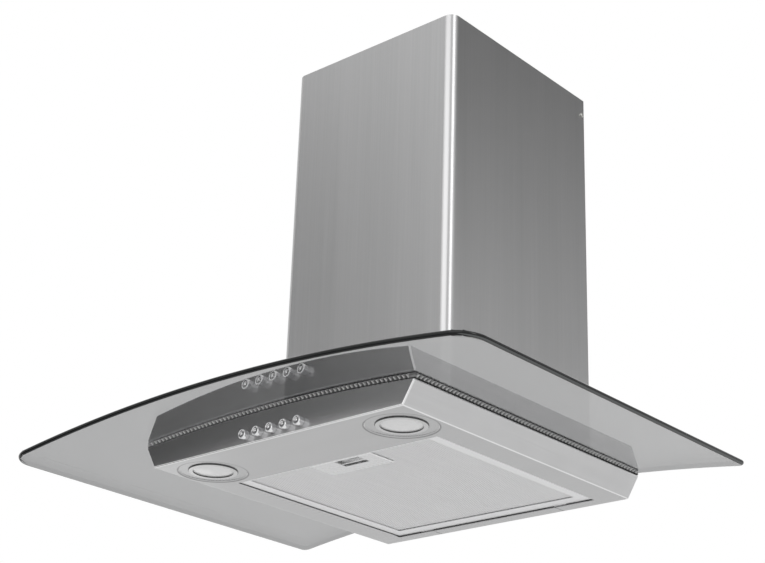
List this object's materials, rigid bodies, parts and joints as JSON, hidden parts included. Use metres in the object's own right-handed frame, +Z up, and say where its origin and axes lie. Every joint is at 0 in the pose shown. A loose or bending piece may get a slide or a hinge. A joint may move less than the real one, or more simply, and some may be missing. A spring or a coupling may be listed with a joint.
{
  "type": "chimney range hood",
  "caption": "Wall-mounted kitchen extractor hood: square brushed steel chimney over an arched smoked glass canopy, with push buttons, round lamps and a hinged grease filter.",
  "frame": {"origin": "on the wall plane, on the centre line, level with the underside of the glass at its crown", "axes": "+X to the right seen from the front, +Y back into the wall, +Z up"},
  "size_m": [0.6, 0.446, 0.489],
  "materials": {
    "stainless": "satin brushed, grain along the folds",
    "smoked_glass": "polished, toughened, grey tint",
    "seal_rubber": "matt, moulded ribs",
    "zinc_screw": "bright zinc plate",
    "galvanised": "galvanised sheet, dull",
    "black_plastic": "moulded, matt",
    "white_plastic": "moulded, matt",
    "shaft_steel": "ground steel",
    "motor_paint": "die cast, bead blasted",
    "chrome_trim": "polished chrome",
    "filter_aluminium": "bright rolled and expanded sheet",
    "frosted_glass": "frosted"
  },
  "bodies": {
    "hood": {"glass_canopy": "smoked_glass", "glass_seal": "seal_rubber", "glass_bolts": "zinc_screw", "glass_washers": "seal_rubber", "glass_nuts": "zinc_screw", "hood_casing": "stainless", "deck_plate": "galvanised", "deck_screws": "zinc_screw", "fan_box": "galvanised", "fan_box_lid": "galvanised", "hanging_plate": "galvanised", "hanger_rivets": "zinc_screw", "blower_scroll": "black_plastic", "blower_inlet_plate": "black_plastic", "motor_body": "motor_paint", "motor_screws": "zinc_screw", "capacitor": "white_plastic", "capacitor_clip": "galvanised", "terminal_box": "white_plastic", "terminal_cover": "white_plastic", "terminal_block": "white_plastic", "cable_gland": "black_plastic", "outlet_spigot": "black_plastic", "outlet_screws": "zinc_screw", "flap_pin": "shaft_steel", "chimney_lower": "stainless", "chimney_bracket": "galvanised", "chimney_screws": "zinc_screw", "switch_block": "black_plastic", "switch_screws": "zinc_screw", "lamp_ring_left": "chrome_trim", "lamp_lens_left": "frosted_glass", "lamp_can_left": "galvanised", "lamp_bulb_left": "frosted_glass", "lamp_ring_right": "chrome_trim", "lamp_lens_right": "frosted_glass", "lamp_can_right": "galvanised", "lamp_bulb_right": "frosted_glass", "button_spring_1": "shaft_steel", "button_spring_2": "shaft_steel", "button_spring_3": "shaft_steel", "button_spring_4": "shaft_steel", "button_spring_5": "shaft_steel"},
    "fan_wheel": {"impeller": "black_plastic", "motor_shaft": "shaft_steel"},
    "flap_left": {"flap_left": "black_plastic"},
    "flap_right": {"flap_right": "black_plastic"},
    "upper_chimney": {"chimney_upper": "stainless"},
    "grease_filter": {"filter_frame": "filter_aluminium", "filter_sheet_lower": "filter_aluminium", "filter_core": "filter_aluminium", "filter_sheet_upper": "filter_aluminium", "latch_plate": "stainless", "latch_spring": "shaft_steel"},
    "latch": {"filter_latch": "stainless"},
    "button_1": {"button_1": "chrome_trim"},
    "button_2": {"button_2": "chrome_trim"},
    "button_3": {"button_3": "chrome_trim"},
    "button_4": {"button_4": "chrome_trim"},
    "button_5": {"button_5": "chrome_trim"}
  },
  "joints": [
    {"name": "filter_hinge", "type": "hinge", "parent": "hood", "child": "grease_filter", "pos_m": [0, -0.023, -0.032], "axis": [1, 0, 0], "range_deg": [0, 80]},
    {"name": "latch_slide", "type": "slide", "parent": "grease_filter", "child": "latch", "axis": [0, 1, 0], "range_m": [0, 0.003], "stiffness_N_per_m": 400, "springref_m": -0.004, "deforming": ["latch_spring"]},
    {"name": "fan_spin", "type": "hinge", "parent": "hood", "child": "fan_wheel", "pos_m": [0, -0.121, 0.10528], "axis": [1, 0, 0], "continuous": true},
    {"name": "flap_left_hinge", "type": "hinge", "parent": "hood", "child": "flap_left", "pos_m": [0, -0.08525, 0.27], "axis": [0, 1, 0], "range_deg": [0, 75]},
    {"name": "flap_right_hinge", "type": "hinge", "parent": "hood", "child": "flap_right", "pos_m": [0, -0.08525, 0.27], "axis": [0, -1, 0], "range_deg": [0, 75]},
    {"name": "chimney_extension", "type": "slide", "parent": "hood", "child": "upper_chimney", "axis": [0, 0, 1], "range_m": [0, 0.38]},
    {"name": "button_1_press", "type": "slide", "parent": "hood", "child": "button_1", "axis": [0, 1, 0], "range_m": [0, 0.003], "stiffness_N_per_m": 300, "springref_m": -0.003, "deforming": ["button_spring_1"]},
    {"name": "button_2_press", "type": "slide", "parent": "hood", "child": "button_2", "axis": [0, 1, 0], "range_m": [0, 0.003], "stiffness_N_per_m": 300, "springref_m": -0.003, "deforming": ["button_spring_2"]},
    {"name": "button_3_press", "type": "slide", "parent": "hood", "child": "button_3", "axis": [0, 1, 0], "range_m": [0, 0.003], "stiffness_N_per_m": 300, "springref_m": -0.003, "deforming": ["button_spring_3"]},
    {"name": "button_4_press", "type": "slide", "parent": "hood", "child": "button_4", "axis": [0, 1, 0], "range_m": [0, 0.003], "stiffness_N_per_m": 300, "springref_m": -0.003, "deforming": ["button_spring_4"]},
    {"name": "button_5_press", "type": "slide", "parent": "hood", "child": "button_5", "axis": [0, 1, 0], "range_m": [0, 0.003], "stiffness_N_per_m": 300, "springref_m": -0.003, "deforming": ["button_spring_5"]}
  ]
}
